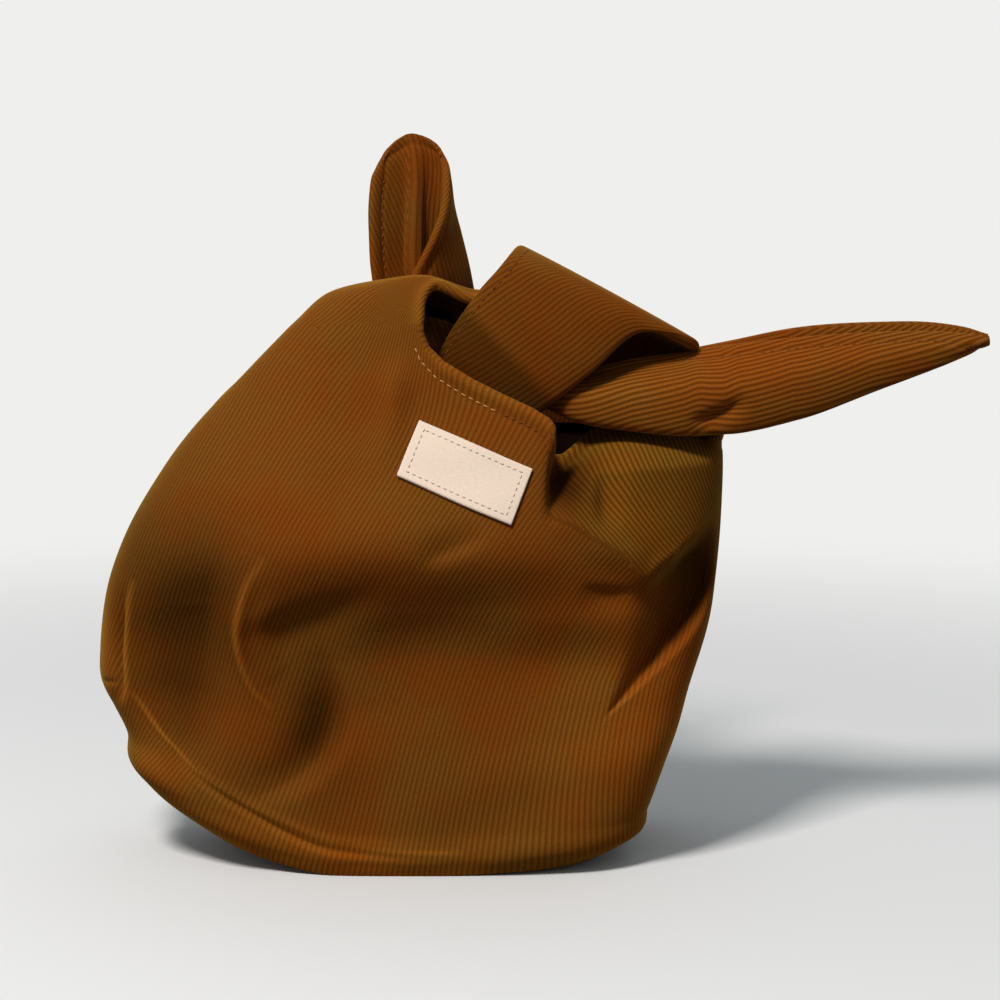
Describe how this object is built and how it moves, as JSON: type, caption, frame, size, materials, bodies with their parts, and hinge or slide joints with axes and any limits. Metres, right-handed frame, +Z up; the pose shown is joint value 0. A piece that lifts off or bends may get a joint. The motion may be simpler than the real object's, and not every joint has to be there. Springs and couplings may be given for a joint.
{
  "type": "cosmetic bag",
  "caption": "Soft corduroy cosmetic bag with a boxed lined sack, a sewn blank label and ties crossed in a half knot over the mouth, their free ends standing as ears.",
  "frame": {"origin": "point on the flat base the bag stands on, under the middle of the sack", "axes": "+Z up from the base to the knot, -Y out of the front with the label, +X to the right of somebody who looks at the front, towards the long ear"},
  "size_m": [0.283, 0.0944, 0.228],
  "materials": {
    "corduroy": "fine needlecord, matt pile with a soft sheen along its ribs",
    "lining": "plain woven cotton, matt",
    "label": "smooth pale woven label, blank"
  },
  "bodies": {
    "bag": {"front_panel": "corduroy", "back_panel": "corduroy", "front_lining": "lining", "back_lining": "lining", "label": "label", "left_tie_outer": "corduroy", "left_tie_facing": "corduroy", "right_tie_outer": "corduroy", "right_tie_facing": "corduroy"},
    "right_ear": {"right_ear_outer": "corduroy", "right_ear_facing": "corduroy"},
    "left_ear": {"left_ear_outer": "corduroy", "left_ear_facing": "corduroy"}
  },
  "joints": [
    {"name": "right_ear_flex", "type": "hinge", "parent": "bag", "child": "right_ear", "pos_m": [0.11, -0.008, 0.1329], "axis": [0, 1, 0], "range_deg": [0, 80], "stiffness_Nm_per_rad": 0.02, "springref_deg": -11.46},
    {"name": "left_ear_flex", "type": "hinge", "parent": "bag", "child": "left_ear", "pos_m": [0.0105, 0.0386, 0.183], "axis": [-1, 0, 0], "range_deg": [0, 75], "stiffness_Nm_per_rad": 0.02, "springref_deg": -11.46}
  ]
}
